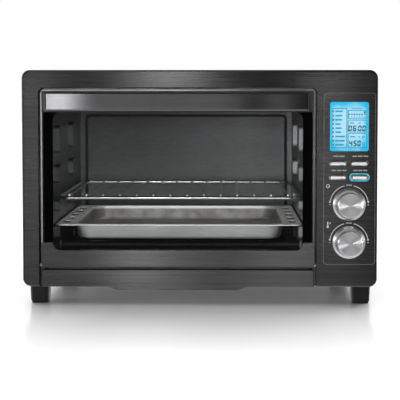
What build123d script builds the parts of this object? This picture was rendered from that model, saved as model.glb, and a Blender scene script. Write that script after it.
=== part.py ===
"""Countertop toaster oven with a glass drop-down door on the left and a control column on the right.

Frame: +X is to the right, +Y is to the back and +Z is up, in millimetres. The origin lies on the
table, below the middle of the whole object's box. The front faces -Y.
"""

import os
from math import cos, radians, sin

from build123d import *

# ---------------------------------------------------------------- driving dimensions
BODY_W = 470.0
BODY_BOTTOM = 25.0
BODY_TOP = 312.5
BODY_DEPTH = 335.0
HANDLE_PROUD = 38.0
SPACER_PROUD = 8.0
SHEET = 1.0
BEZEL_SHEET = 1.2

TOTAL_DEPTH = HANDLE_PROUD + BODY_DEPTH + SPACER_PROUD
FRONT = -TOTAL_DEPTH / 2 + HANDLE_PROUD
BACK = FRONT + BODY_DEPTH
HALF_W = BODY_W / 2
BODY_Z = (BODY_BOTTOM, BODY_TOP)

# The door, the cavity, the rack and the pans share one centre line, left of the body's middle.
DOOR_CX = -29.0
DOOR_W = 362.0
DOOR_GAP = 2.5
DOOR_BOTTOM = 50.0
DOOR_TOP = 286.5
DOOR_DEPTH = 12.0
DOOR_X = (DOOR_CX - DOOR_W / 2, DOOR_CX + DOOR_W / 2)
DOOR_CORNER = 5.0
OPENING_X = (DOOR_X[0] - DOOR_GAP, DOOR_X[1] + DOOR_GAP)
OPENING_TOP = DOOR_TOP + DOOR_GAP
OPENING_CORNER = DOOR_CORNER + DOOR_GAP

BEZEL_DEPTH = 14.0
BEZEL_CORNER = 11.0
BEZEL_ROUND = 3.0
FACE_Y = (FRONT + BEZEL_DEPTH, FRONT + BEZEL_DEPTH + SHEET)

PIN_Y = FRONT + 5.0
PIN_Z = DOOR_BOTTOM + 3.5
PIN_R = 2.2
RUNNING = 0.06

CAVITY_HALF_W = 170.0
CAVITY_X = (DOOR_CX - CAVITY_HALF_W, DOOR_CX + CAVITY_HALF_W)
CAVITY_Z = (58.0, 280.0)
CAVITY_Y = (FACE_Y[1], FRONT + 310.0)
PAD_PROUD = 6.5
PAD_W = 36.0
PAD_TAPER = 4.0
PAD_COLUMNS = (FRONT + 67.0, FRONT + 195.0)
PAD_ROWS = ((80.0, 102.8), (119.0, 137.3), (158.0, 184.0), (200.0, 238.0))
REST_GAP = 0.3

HEATER_R = 4.0
HEATER_COLUMNS = (FRONT + 95.0, FRONT + 225.0)
UPPER_HEATER_Z = 262.0
LOWER_HEATER_Z = 68.0
BUSH_R = 6.0
BUSH_FLANGE_R = 9.0
BUSH_FLANGE = 6.0

FAN_Y = FRONT + 131.0
FAN_Z = 170.0
FAN_R = 34.0
SHAFT_R = 3.0
SHIELD_X = (160.0, 161.0)

RACK_Y = (FRONT + 31.0, FRONT + 288.0)
RACK_HALF_W = 166.0
RACK_WIRE_R = 2.5
CROSS_WIRE_R = 1.3
CROSS_WIRE_PITCH = 22.7
CROSS_WIRES = 14
RACK_Z = PAD_ROWS[1][1] + REST_GAP + RACK_WIRE_R

PAN_Y = (FRONT + 30.0, FRONT + 272.0)
PAN_HALF_W = 167.0
PAN_RIM_Z = PAD_ROWS[0][1] + REST_GAP
PAN_BODY_DEPTH = 20.0

CRUMB_TOP = DOOR_BOTTOM - DOOR_GAP
CRUMB_PAN_Z = (37.0, 45.0)
CRUMB_PAN_X = (DOOR_CX - 167.0, DOOR_CX + 167.0)

PANEL_X = (163.5, 231.8)
PANEL_Z = (55.5, 282.5)
PANEL_T = 1.2
PANEL_FRONT = FRONT - PANEL_T
CUTOUT_X = (168.0, 228.0)
CUTOUT_Z = (60.0, 278.0)
LENS_X = (172.0, 222.6)
LENS_Z = (205.8, 270.2)
BUTTON_COLUMNS = (182.6, 210.8)
BUTTON_ROWS = (189.7, 171.2)
BUTTON_W = 22.8
BUTTON_H = 6.8
BUTTON_TRAVEL = 1.0
KNOB_X = 197.3
KNOB_ROWS = {"time": 135.4, "temp": 85.3}
KNOB_SKIRT_R = 21.5
KNOB_R = 16.4
KNOB_PROUD = 19.0
KNOB_GROOVE = 2.8
BOARD_Y = (FRONT + 13.0, FRONT + 14.6)

FEET_X = 215.8
FEET_Y = (FRONT + 28.0, BACK - 30.0)
FOOT_W = 25.5
SOLE_T = 3.0

CORD_X = 200.0
CORD_Z = 50.0
CORD_HOLE_R = 4.5


# ---------------------------------------------------------------- shape helpers
def block(x, y, z):
    """A box between a low and a high value on each axis."""
    sizes = [high - low for low, high in (x, y, z)]
    middle = [(low + high) / 2 for low, high in (x, y, z)]
    return Pos(*middle) * Box(*sizes)


def rect(u, v, radius=0.0):
    """A flat rectangle between a low and a high value on each sketch axis."""
    width, height = u[1] - u[0], v[1] - v[0]
    shape = RectangleRounded(width, height, radius) if radius else Rectangle(width, height)
    return Pos((u[0] + u[1]) / 2, (v[0] + v[1]) / 2) * shape


def grown(bounds, by):
    """Low and high values moved apart by the same amount."""
    return (bounds[0] - by, bounds[1] + by)


def upright(sketch, y):
    """A sketch in X and Z, made solid between two values of Y."""
    plane = Plane(origin=(0, y[1], 0), x_dir=(1, 0, 0), z_dir=(0, -1, 0))
    return extrude(plane * sketch, y[1] - y[0])


def sideways(sketch, x):
    """A sketch in Y and Z, made solid between two values of X."""
    plane = Plane(origin=(x[0], 0, 0), x_dir=(0, 1, 0), z_dir=(1, 0, 0))
    return extrude(plane * sketch, x[1] - x[0])


def level(sketch, z):
    """A sketch in X and Y, made solid between two values of Z."""
    return extrude(Pos(0, 0, z[0]) * sketch, z[1] - z[0])


def rod(start, end, radius):
    """A round bar between two points."""
    line = Vector(*end) - Vector(*start)
    return extrude(Plane(origin=start, z_dir=line) * Circle(radius), line.length)


def square_below(u, v, radius):
    """A flat rectangle with rounded upper corners only."""
    return rect(u, (v[0] - 3 * radius, v[1]), radius) & rect(u, v)


def tapered(centre, normal, size, depth, taper, radius):
    """A rounded rectangle that narrows as it rises from its centre point along its normal."""
    across = (0, 1, 0) if abs(normal[0]) else (1, 0, 0)
    plane = Plane(origin=centre, x_dir=across, z_dir=normal)
    return extrude(plane * RectangleRounded(*size, radius), depth, taper=taper)


def about_door(shape):
    """The mirror image about the door's centre line."""
    return mirror(shape, about=Plane(origin=(DOOR_CX, 0, 0), z_dir=(1, 0, 0)))


def both_sides(shape):
    """A shape and its mirror image about the door's centre line."""
    return [shape, about_door(shape)]


def round_front(shape, radius):
    """Rounds the edges that lie in the shape's foremost plane."""
    return fillet(shape.edges().group_by(Axis.Y)[0], radius)


# ---------------------------------------------------------------- casing
def front_frame():
    """The bezel: one folded sheet with the door opening, open at the bottom for the crumb tray."""
    depth = (FRONT, FRONT + BEZEL_DEPTH)
    outline = rect((-HALF_W, HALF_W), BODY_Z, BEZEL_CORNER)
    shell = round_front(upright(outline, depth), BEZEL_ROUND)
    inner = rect(
        grown((-HALF_W, HALF_W), -BEZEL_SHEET),
        grown(BODY_Z, -BEZEL_SHEET),
        BEZEL_CORNER - BEZEL_SHEET,
    )
    hollow = upright(inner, (FRONT + BEZEL_SHEET, depth[1] + 1))
    hollow = round_front(hollow, BEZEL_ROUND - BEZEL_SHEET)
    below = BODY_BOTTOM - 30.0
    opening = rect(OPENING_X, (below, OPENING_TOP), OPENING_CORNER)
    opening_wall = rect(
        grown(OPENING_X, BEZEL_SHEET),
        (below, OPENING_TOP + BEZEL_SHEET),
        OPENING_CORNER + BEZEL_SHEET,
    )
    hollow -= upright(opening_wall, grown(depth, 2))
    frame = shell - hollow - upright(opening, grown(depth, 2))
    lip = frame.edges().filter_by_position(Axis.Y, FRONT, FRONT)
    lip = lip.filter_by_position(Axis.X, OPENING_X[0] - 0.1, OPENING_X[1] + 0.1)
    lip = lip.filter_by_position(Axis.Z, BODY_BOTTOM, OPENING_TOP + 0.1)
    frame = fillet(lip, BEZEL_SHEET * 0.8)
    frame -= upright(rect(CUTOUT_X, CUTOUT_Z, 3.0), grown(depth, 2))
    pin_hole = rod((OPENING_X[0] - 4, PIN_Y, PIN_Z), (OPENING_X[0] + 4, PIN_Y, PIN_Z), PIN_R + 0.6)
    for hole in both_sides(pin_hole):
        frame -= hole
    return frame


WRAP_X = grown((-HALF_W, HALF_W), -1.4)
WRAP_TOP = BODY_TOP - 1.4
WRAP_BOTTOM = BODY_BOTTOM + 1.4
WRAP_CORNER = BEZEL_CORNER - 1.4
WRAP_Y = (FRONT + 3.0, BACK - 1.5)
VENT_W = 3.0


def outer_wrap():
    """The top and both sides of the casing, rolled from one sheet, with vent slots in the sides."""
    z = (WRAP_BOTTOM, WRAP_TOP)
    tube = upright(rect(WRAP_X, z, WRAP_CORNER), WRAP_Y)
    inner = rect(grown(WRAP_X, -SHEET), grown(z, -SHEET), WRAP_CORNER - SHEET)
    tube -= upright(inner, grown(WRAP_Y, 1))
    tube -= block(grown(WRAP_X, -WRAP_CORNER), grown(WRAP_Y, 5), (z[0] - 5, z[0] + 5))
    slots = []
    for side, rows in ((1, (62.0, 232.0)), (-1, (232.0,))):
        x = (side * HALF_W - 6, side * HALF_W + 6)
        for row in rows:
            for i in range(14):
                y = FRONT + 60.0 + 9.0 * i
                slots.append(sideways(rect((y, y + VENT_W), (row, row + 40.0), 1.4), x))
    for x, y, z, axis in casing_screw_places():
        reach = Vector(*axis) * 6
        slots.append(rod(Vector(x, y, z) - reach, Vector(x, y, z) + reach, SCREW_R + 0.1))
    return tube - slots


SCREW_R = 1.5
SCREW_HEAD_R = 3.2
SCREW_HEAD = 1.2
SCREW_LENGTH = 6.0
FLANGE_DEPTH = 12.0


def casing_screw_places():
    """Where the casing screws enter the wrap: point on its outer face, and the way the head faces."""
    y = BACK - 1.5 - FLANGE_DEPTH / 2
    places = [(x, y, WRAP_TOP, (0, 0, 1)) for x in (-150.0, 0.0, 150.0)]
    for z in (60.0, 170.0, 285.0):
        places.append((WRAP_X[0], y, z, (-1, 0, 0)))
        places.append((WRAP_X[1], y, z, (1, 0, 0)))
    return places


def screw(point, axis, head_r=SCREW_HEAD_R, length=SCREW_LENGTH):
    """A pan-head screw whose head stands on a point and faces along an axis, with a cross slot."""
    axis = Vector(*axis)
    seat = Vector(*point)
    head = rod(seat, seat + axis * SCREW_HEAD, head_r)
    slot_plane = Plane(origin=seat + axis * (SCREW_HEAD - 0.6), z_dir=axis)
    for turn in (0, 90):
        head -= extrude(slot_plane * (Rot(0, 0, turn) * Rectangle(head_r * 1.2, 0.8)), 2)
    return head + rod(seat - axis * length, seat, SCREW_R)


def casing_screws():
    return [screw((x, y, z), axis) for x, y, z, axis in casing_screw_places()]


def rear_cover():
    """The back sheet, with a forward flange inside the wrap, vent slots and the cord's hole."""
    outline = rect(WRAP_X, (WRAP_BOTTOM, WRAP_TOP), WRAP_CORNER)
    cover = upright(outline, (BACK - 1.5, BACK))
    gap = SHEET + 0.2
    flange_y = (BACK - 1.5 - FLANGE_DEPTH, BACK - 1.5)
    inside = [grown(WRAP_X, -gap), (WRAP_BOTTOM + 2.0, WRAP_TOP - gap)]
    cover += upright(rect(*inside, WRAP_CORNER - gap), flange_y) - upright(
        rect(grown(inside[0], -SHEET), grown(inside[1], -SHEET), WRAP_CORNER - gap - SHEET),
        grown(flange_y, 1),
    )
    cuts = []
    for row in (220.0, 262.0):
        for i in range(22):
            x = -170.0 + 14.0 * i
            cuts.append(upright(rect((x, x + 4.0), (row, row + 30.0), 1.9), (BACK - 3, BACK + 1)))
    for row in (120.0, 165.0):
        for i in range(5):
            x = 168.0 + 12.0 * i
            cuts.append(upright(rect((x, x + 4.0), (row, row + 30.0), 1.9), (BACK - 3, BACK + 1)))
    cuts.append(rod((CORD_X, BACK - 4, CORD_Z), (CORD_X, BACK + 1, CORD_Z), CORD_HOLE_R + 3.5))
    for x, y, z, axis in casing_screw_places():
        reach = Vector(*axis) * 8
        cuts.append(rod(Vector(x, y, z) - reach, Vector(x, y, z), SCREW_R + 0.1))
    return cover - cuts


def base_plate():
    """The bottom sheet, with turned-up sides and cooling slots."""
    x = grown(WRAP_X, -WRAP_CORNER)
    y = (FACE_Y[0], BACK - 1.5 - FLANGE_DEPTH - 1.0)
    z = (BODY_BOTTOM, BODY_BOTTOM + BEZEL_SHEET)
    plate = block(x, y, z)
    for low in (x[0], x[1] - SHEET):
        plate += block((low, low + SHEET), y, (z[0], z[0] + 15.0))
    slots = []
    for row in range(4):
        for i in range(9):
            x0 = -165.0 + 32.0 * i
            y0 = FRONT + 70.0 + 50.0 * row
            slots.append(level(rect((x0, x0 + 22.0), (y0, y0 + 3.5), 1.6), grown(z, 2)))
    return plate - slots


def foot_places():
    return [(side * FEET_X, y) for side in (-1, 1) for y in FEET_Y]


def feet():
    """Four moulded feet with rounded corners, each a little narrower at the bottom."""
    made = []
    for x, y in foot_places():
        size = (FOOT_W, FOOT_W)
        top = BODY_BOTTOM
        made.append(tapered((x, y, top), (0, 0, -1), size, top - SOLE_T, 2.0, 6.0))
    return made


def foot_soles():
    """Rubber soles under the feet."""
    width = FOOT_W - 3.6
    return [
        level(Pos(x, y) * RectangleRounded(width, width, 5.0), (0, SOLE_T)) for x, y in foot_places()
    ]


def rear_spacers():
    """Two bumpers that keep the back off a wall."""
    made = []
    for x in (-150.0, 110.0):
        post = tapered((x, BACK, 90.0), (0, 1, 0), (24.0, 40.0), SPACER_PROUD, 12.0, 5.0)
        made.append(post)
    return made


def cord_gland():
    """The bush in the rear cover that the mains cord would pass through."""
    outer = rod((CORD_X, BACK - 6, CORD_Z), (CORD_X, BACK, CORD_Z), CORD_HOLE_R + 3.4)
    outer += rod((CORD_X, BACK, CORD_Z), (CORD_X, BACK + 3, CORD_Z), CORD_HOLE_R + 5.5)
    outer += rod((CORD_X, BACK - 6, CORD_Z), (CORD_X, BACK - 4, CORD_Z), CORD_HOLE_R + 5.0)
    return outer - rod((CORD_X, BACK - 9, CORD_Z), (CORD_X, BACK + 6, CORD_Z), CORD_HOLE_R)


# ---------------------------------------------------------------- cavity
def face_frame():
    """The plate behind the bezel: the cavity opens through it, and its legs stand on the base."""
    outer = rect((CAVITY_X[0] - 23.0, CAVITY_X[1] + 17.0), (BODY_BOTTOM + BEZEL_SHEET, 296.0))
    plate = upright(outer, FACE_Y)
    plate -= upright(rect(CAVITY_X, CAVITY_Z, 4.0), grown(FACE_Y, 2))
    plate -= upright(rect(CAVITY_X, (BODY_BOTTOM, CRUMB_PAN_Z[1] + 1.0)), grown(FACE_Y, 2))
    slot = block((LEVER_X[0] - 1, LEVER_X[1] + 1), grown(FACE_Y, 2), (PIN_Z - 9, PIN_Z + 27))
    for cut in both_sides(slot):
        plate -= cut
    return plate


def heater_places():
    return [(y, z) for z in (UPPER_HEATER_Z, LOWER_HEATER_Z) for y in HEATER_COLUMNS]


def side_wall():
    """The cavity's left wall, with two columns of pressed pads that carry the rack and the pan."""
    outside = CAVITY_X[0] - SHEET
    wall = sideways(rect(CAVITY_Y, CAVITY_Z), (outside, CAVITY_X[0]))
    hollows = []
    for y in PAD_COLUMNS:
        for low, high in PAD_ROWS:
            centre = (CAVITY_X[0], y, (low + high) / 2)
            size = (PAD_W, high - low)
            wall += tapered(centre, (1, 0, 0), size, PAD_PROUD, PAD_TAPER, 6.0)
            back = (outside, y, (low + high) / 2)
            inner = (size[0] - 2 * SHEET, size[1] - 2 * SHEET)
            hollows.append(tapered(back, (1, 0, 0), inner, PAD_PROUD, PAD_TAPER, 5.0))
    for y, z in heater_places():
        hollows.append(rod((outside - 2, y, z), (CAVITY_X[0] + 2, y, z), BUSH_R + 0.1))
    return wall - hollows


def cavity_right_wall():
    """The mirrored wall, with the fan's round grille and the probe's hole."""
    wall = about_door(side_wall())
    x = grown((CAVITY_X[1], CAVITY_X[1] + SHEET), 2)
    holes = [rod((x[0], FAN_Y, FAN_Z), (x[1], FAN_Y, FAN_Z), 2.4)]
    for ring in range(1, 5):
        count = 6 * ring
        for i in range(count):
            turn = radians(360.0 * i / count)
            y = FAN_Y + 7.6 * ring * cos(turn)
            z = FAN_Z + 7.6 * ring * sin(turn)
            holes.append(rod((x[0], y, z), (x[1], y, z), 2.4))
    holes.append(rod((x[0], PROBE_Y, UPPER_HEATER_Z), (x[1], PROBE_Y, UPPER_HEATER_Z), PROBE_R + 0.1))
    return wall - holes


BACK_PANEL_X = (DOOR_CX - 162.5, DOOR_CX + 162.5)
BACK_PANEL_Z = (72.0, 247.0)
BACK_PANEL_DEPTH = 5.0


def cavity_back():
    """The cavity's rear wall, with a large shallow panel pressed backwards."""
    x = grown(CAVITY_X, SHEET)
    y = (CAVITY_Y[1], CAVITY_Y[1] + SHEET)
    wall = upright(rect(x, CAVITY_Z), y)
    middle = (DOOR_CX, y[0], sum(BACK_PANEL_Z) / 2)
    size = (BACK_PANEL_X[1] - BACK_PANEL_X[0], BACK_PANEL_Z[1] - BACK_PANEL_Z[0])
    outer = (size[0] + 2 * SHEET, size[1] + 2 * SHEET)
    wall += tapered(middle, (0, 1, 0), outer, BACK_PANEL_DEPTH + SHEET, 40.0, 9.0)
    return wall - tapered(middle, (0, 1, 0), size, BACK_PANEL_DEPTH, 40.0, 8.0)


def cavity_top():
    """The cavity's ceiling, with a turned-up flange on each long side."""
    x = grown(CAVITY_X, SHEET)
    y = (CAVITY_Y[0], CAVITY_Y[1] + SHEET)
    top = block(x, y, (CAVITY_Z[1], CAVITY_Z[1] + SHEET))
    for low in (y[0], y[1] - SHEET):
        top += block(x, (low, low + SHEET), (CAVITY_Z[1], CAVITY_Z[1] + 9.0))
    return top


FLOOR_HOLE_X = (DOOR_CX - 156.0, DOOR_CX + 156.0)
FLOOR_HOLE_Y = (FRONT + 30.0, FRONT + 295.0)


def cavity_floor():
    """A flat frame round the hole through which crumbs fall into the tray."""
    x = grown(CAVITY_X, SHEET)
    y = (CAVITY_Y[0], CAVITY_Y[1] + SHEET)
    floor = block(x, y, (CAVITY_Z[0] - SHEET, CAVITY_Z[0]))
    return floor - level(rect(FLOOR_HOLE_X, FLOOR_HOLE_Y, 8.0), grown(CAVITY_Z, 5))


def heater_rods():
    """Four straight sheathed rods across the cavity, with a terminal stud on each end."""
    made = []
    end = CAVITY_X[0] - SHEET - BUSH_FLANGE
    for y, z in heater_places():
        stud = rod((end - 6.0, y, z), (end, y, z), 1.6)
        nut = rod((end - 2.5, y, z), (end, y, z), 3.4)
        half = stud + nut + rod((end, y, z), (DOOR_CX, y, z), HEATER_R)
        made.append(half + about_door(half))
    return made


def heater_bushes():
    """Ceramic bushes that hold the rods' ends in the cavity's side walls."""
    made = []
    outside = CAVITY_X[0] - SHEET
    for y, z in heater_places():
        bush = rod((outside, y, z), (CAVITY_X[0] + 2.0, y, z), BUSH_R)
        bush += rod((outside - BUSH_FLANGE, y, z), (outside, y, z), BUSH_FLANGE_R)
        bush -= rod((outside - 9, y, z), (outside + 9, y, z), HEATER_R + 0.05)
        made += both_sides(bush)
    return made


PROBE_Y = FRONT + 160.0
PROBE_R = 2.0


def temperature_probe():
    """The sensor's steel tube, through the right wall between the upper rods."""
    z = UPPER_HEATER_Z
    tube = rod((CAVITY_X[1] - 24.0, PROBE_Y, z), (CAVITY_X[1] + 14.0, PROBE_Y, z), PROBE_R)
    flange = rod((CAVITY_X[1] + SHEET, PROBE_Y, z), (CAVITY_X[1] + SHEET + 2, PROBE_Y, z), 6.0)
    return tube + flange


def thermal_fuse():
    """The cut-out on a saddle on top of the cavity."""
    z = CAVITY_Z[1] + SHEET
    saddle = block((50.0, 74.0), (-8.0, 8.0), (z, z + 1.5))
    return saddle + rod((48.0, 0, z + 5.0), (76.0, 0, z + 5.0), 4.0)


# ---------------------------------------------------------------- convection fan
def heat_shield():
    """The plate between the hot cavity and the controls, with slots and the fan shaft's hole."""
    y = (FACE_Y[1] + 1.0, BACK - 1.5 - FLANGE_DEPTH - 1.0)
    plate = sideways(rect(y, (BODY_BOTTOM + BEZEL_SHEET, 304.0)), SHIELD_X)
    cuts = [rod((SHIELD_X[0] - 2, FAN_Y, FAN_Z), (SHIELD_X[1] + 2, FAN_Y, FAN_Z), 8.0)]
    for i in range(8):
        y0 = FRONT + 190.0 + 11.0 * i
        cuts.append(sideways(rect((y0, y0 + 4.0), (200.0, 260.0), 1.9), grown(SHIELD_X, 2)))
    return plate - cuts


FAN_WHEEL_X = (CAVITY_X[1] + SHEET + 3.5, CAVITY_X[1] + SHEET + 11.5)
MOTOR_X = (SHIELD_X[1] + 6.0, SHIELD_X[1] + 26.0)
MOTOR_HALF = 25.0


def fan_wheel():
    """A hub with eight pitched blades."""
    mid = sum(FAN_WHEEL_X) / 2
    wheel = rod((FAN_WHEEL_X[0], FAN_Y, FAN_Z), (FAN_WHEEL_X[1], FAN_Y, FAN_Z), 9.0)
    for i in range(8):
        blade = Pos(0, 0, (FAN_R + 6.0) / 2) * (Rot(0, 0, 24) * Box(1.0, 15.0, FAN_R - 6.0))
        wheel += Pos(mid, FAN_Y, FAN_Z) * (Rot(45.0 * i, 0, 0) * blade)
    return wheel - rod((FAN_WHEEL_X[0] - 1, FAN_Y, FAN_Z), (FAN_WHEEL_X[1] + 1, FAN_Y, FAN_Z), SHAFT_R)


def fan_shaft():
    return rod((FAN_WHEEL_X[0] - 1, FAN_Y, FAN_Z), (MOTOR_X[1] + 4, FAN_Y, FAN_Z), SHAFT_R)


def fan_motor():
    """A shaded-pole motor: a laminated core with the shaft's running bore, and its winding."""
    y, z = grown((FAN_Y, FAN_Y), MOTOR_HALF), grown((FAN_Z, FAN_Z), MOTOR_HALF)
    core = sideways(rect(y, z, 6.0), MOTOR_X)
    core += rod((MOTOR_X[0] - 3, FAN_Y, FAN_Z), (MOTOR_X[1] + 3, FAN_Y, FAN_Z), 10.0)
    core -= rod((MOTOR_X[0] - 5, FAN_Y, FAN_Z), (MOTOR_X[1] + 5, FAN_Y, FAN_Z), SHAFT_R + RUNNING)
    winding = sideways(rect(grown((FAN_Y, FAN_Y), 14.0), (z[0] - 20.0, z[0]), 5.0), grown(MOTOR_X, 4.0))
    return [core, winding]


def mounting_posts():
    """Posts that carry the fan motor, the control board and the power board."""
    reach = MOTOR_HALF - 5.0
    made = []
    for y in grown((FAN_Y, FAN_Y), reach):
        for z in grown((FAN_Z, FAN_Z), reach):
            made.append(rod((SHIELD_X[1], y, z), (MOTOR_X[0], y, z), 3.0))
    for x, z in standoff_places():
        made.append(rod((x, FRONT, z), (x, BOARD_Y[0], z), 2.4))
    for y in grown(POWER_BOARD_Y, -6.0):
        for z in grown(POWER_BOARD_Z, -6.0):
            made.append(rod((POWER_BOARD_X[1], y, z), (WRAP_X[1] - SHEET, y, z), 2.5))
    return made


# ---------------------------------------------------------------- rack and pans
def rack_frame():
    """The rack's outer loop of thick wire, with rounded corners."""
    x = grown((DOOR_CX, DOOR_CX), RACK_HALF_W - RACK_WIRE_R)
    y = grown(RACK_Y, -RACK_WIRE_R)
    path = (Pos(0, 0, RACK_Z) * rect(x, y, 14.0)).wires()[0]
    return sweep(Plane(origin=path @ 0, z_dir=path % 0) * Circle(RACK_WIRE_R), path)


def rack_wires():
    """The thin wires that lie on the loop from front to back."""
    z = RACK_Z + RACK_WIRE_R + CROSS_WIRE_R
    made = []
    for i in range(CROSS_WIRES):
        x = DOOR_CX + (i - (CROSS_WIRES - 1) / 2) * CROSS_WIRE_PITCH
        made.append(rod((x, RACK_Y[0] + 0.4, z), (x, RACK_Y[1] - 0.4, z), CROSS_WIRE_R))
    return made


def baking_pan():
    """A shallow steel pan whose wide side rims carry five slots each."""
    x = (DOOR_CX - PAN_HALF_W, DOOR_CX + PAN_HALF_W)
    rim = level(rect(x, PAN_Y, 9.0), (PAN_RIM_Z, PAN_RIM_Z + SHEET))
    middle = (DOOR_CX, sum(PAN_Y) / 2, PAN_RIM_Z + SHEET)
    size = (2 * PAN_HALF_W - 48.0, PAN_Y[1] - PAN_Y[0] - 18.0)
    outer = (size[0] + 2 * SHEET, size[1] + 2 * SHEET)
    down = (0, 0, -1)
    body = tapered(middle, down, outer, PAN_BODY_DEPTH + SHEET, 14.0, 24.0)
    body = fillet(body.edges().group_by(Axis.Z)[0], 5.0)
    hollow = tapered(middle, down, size, PAN_BODY_DEPTH, 14.0, 23.0)
    hollow = fillet(hollow.edges().group_by(Axis.Z)[0], 4.0)
    pan = rim + body - hollow
    slots = []
    for i in range(5):
        y = middle[1] + 41.5 * (i - 2)
        for side in (-1, 1):
            centre = DOOR_CX + side * (PAN_HALF_W - 11.0)
            sketch = rect(grown((centre, centre), 5.5), grown((y, y), 11.5), 3.0)
            slots.append(level(sketch, (PAN_RIM_Z - 2, PAN_RIM_Z + 3)))
    return pan - slots


DIP_HALF_W = 86.0
DIP = 4.5
DIP_RUN = 22.0


def crumb_tray_front():
    """The tray's fascia below the door, with a shallow finger dip in its lower edge."""
    x = grown(DOOR_X, -0.5)
    inner = DOOR_CX - DIP_HALF_W + DIP_RUN / 2
    outer = inner - DIP_RUN
    low = BODY_BOTTOM - DIP
    right_inner, right_outer = 2 * DOOR_CX - inner, 2 * DOOR_CX - outer
    run = (1, 0)
    outline = [
        Line((x[0], CRUMB_TOP), (x[0], BODY_BOTTOM)),
        Line((x[0], BODY_BOTTOM), (outer, BODY_BOTTOM)),
        Spline((outer, BODY_BOTTOM), (inner, low), tangents=[run, run]),
        Line((inner, low), (right_inner, low)),
        Spline((right_inner, low), (right_outer, BODY_BOTTOM), tangents=[run, run]),
        Line((right_outer, BODY_BOTTOM), (x[1], BODY_BOTTOM)),
        Line((x[1], BODY_BOTTOM), (x[1], CRUMB_TOP)),
        Line((x[1], CRUMB_TOP), (x[0], CRUMB_TOP)),
    ]
    fascia = upright(make_face(Wire(outline)), (FRONT, FRONT + BEZEL_SHEET))
    fascia = fillet(fascia.edges().filter_by(Axis.Y).group_by(Axis.Z)[-1], 2.0)
    back = (FRONT + BEZEL_SHEET, FRONT + 9.0)
    fascia += block(x, back, (CRUMB_TOP - SHEET, CRUMB_TOP))
    for low_x in (x[0], x[1] - SHEET):
        fascia += block((low_x, low_x + SHEET), back, (BODY_BOTTOM + 1, CRUMB_TOP))
    return round_front(fascia, 0.8)


def crumb_tray():
    """The shallow tray behind the fascia."""
    y = (FRONT + BEZEL_SHEET, FRONT + 300.0)
    z = CRUMB_PAN_Z
    tray = block(CRUMB_PAN_X, y, z)
    tray -= block(grown(CRUMB_PAN_X, -SHEET), grown(y, -SHEET), (z[0] + SHEET, z[1] + 5))
    return tray


def crumb_tray_rails():
    """Two angles on the base that the tray slides on, each with a tab for a door spring."""
    y = (FRONT + BEZEL_DEPTH + 3.0, FRONT + 300.0)
    top = CRUMB_PAN_Z[0] - REST_GAP
    outside = CRUMB_PAN_X[0] - 3.0
    rail = block((outside - SHEET, outside), y, (BODY_BOTTOM + BEZEL_SHEET, CAVITY_Z[0] - SHEET))
    rail += block((outside, outside + 13.0), y, (top - SHEET, top))
    tab_x = (LEVER_X[0] - 3.0, outside)
    rail += block(tab_x, (SPRING_TAB_Y, SPRING_TAB_Y + 1.5), (PIN_Z - 7.0, CAVITY_Z[0] - SHEET))
    rail += block(tab_x, (SPRING_TAB_Y, SPRING_TAB_Y + 16.0), (PIN_Z - 8.0, PIN_Z - 7.0))
    return both_sides(rail)


# ---------------------------------------------------------------- door
GLASS_X = grown(DOOR_X, -2.5)
GLASS_Z = (60.0, 262.0)
GLASS_Y = (FRONT + BEZEL_SHEET, FRONT + 5.2)
WINDOW_X = (DOOR_CX - 165.5, DOOR_CX + 165.5)
WINDOW_Z = (73.4, 257.0)
RAIL_Z = 84.0
WINDOW_CORNER = RAIL_Z - WINDOW_Z[0]
BACKING_Y = (FRONT + DOOR_DEPTH - SHEET, FRONT + DOOR_DEPTH)
EDGE_T = 2.0


def door_frame():
    """The door's carrier: a folded edge all round, and a flat frame on the cavity's side."""
    low = DOOR_BOTTOM + 1.4
    outer = square_below(DOOR_X, (low, DOOR_TOP), DOOR_CORNER)
    inner_x = grown(DOOR_X, -EDGE_T)
    inner = square_below(inner_x, (low + SHEET, DOOR_TOP - EDGE_T), DOOR_CORNER - EDGE_T)
    edge_y = (FRONT + BEZEL_SHEET, BACKING_Y[1])
    frame = upright(outer, edge_y) - upright(inner, grown(edge_y, 1))
    frame += upright(outer, BACKING_Y)
    frame -= upright(rect(grown(WINDOW_X, 2), grown(WINDOW_Z, 3), 10.0), grown(BACKING_Y, 1))
    pin_hole = rod((DOOR_X[0] - 2, PIN_Y, PIN_Z), (LEVER_X[1], PIN_Y, PIN_Z), PIN_R)
    lever_slot = block(LEVER_X, (edge_y[0], edge_y[1] + 1), (low - 1, LEVER_Z[1] + 1.0))
    relief = block(grown(DOOR_X, 1), (FRONT, FRONT + 2.6), (low - 1, low + 1.4))
    return frame - relief - both_sides(pin_hole + lever_slot)


def door_glass():
    """The tempered pane."""
    return upright(rect(GLASS_X, GLASS_Z, 2.0), GLASS_Y)


def glass_gasket():
    """The silicone ring that holds the pane off the door's frame."""
    y = (GLASS_Y[1], BACKING_Y[0])
    outer = upright(rect(grown(GLASS_X, -0.5), GLASS_Z, 2.0), y)
    return outer - upright(rect(grown(WINDOW_X, 4), grown(WINDOW_Z, -0.0), 10.0), grown(y, 1))


def door_top_rail():
    """The face sheet behind the handle, with a small bright lip along its lower edge."""
    y = (FRONT, FRONT + BEZEL_SHEET)
    z = (WINDOW_Z[1], DOOR_TOP - 1.6)
    rail = upright(rect(grown(DOOR_X, -1.6), z), y)
    lip = block(grown(DOOR_X, -1.6), (FRONT - 0.6, FRONT), (z[0], z[0] + 1.8))
    rail = round_front(rail + lip, 0.4)
    for x in post_places():
        rail -= rod((x, FRONT - 2, HANDLE_CZ), (x, FRONT + 3, HANDLE_CZ), SCREW_R + 0.3)
    return rail


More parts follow.
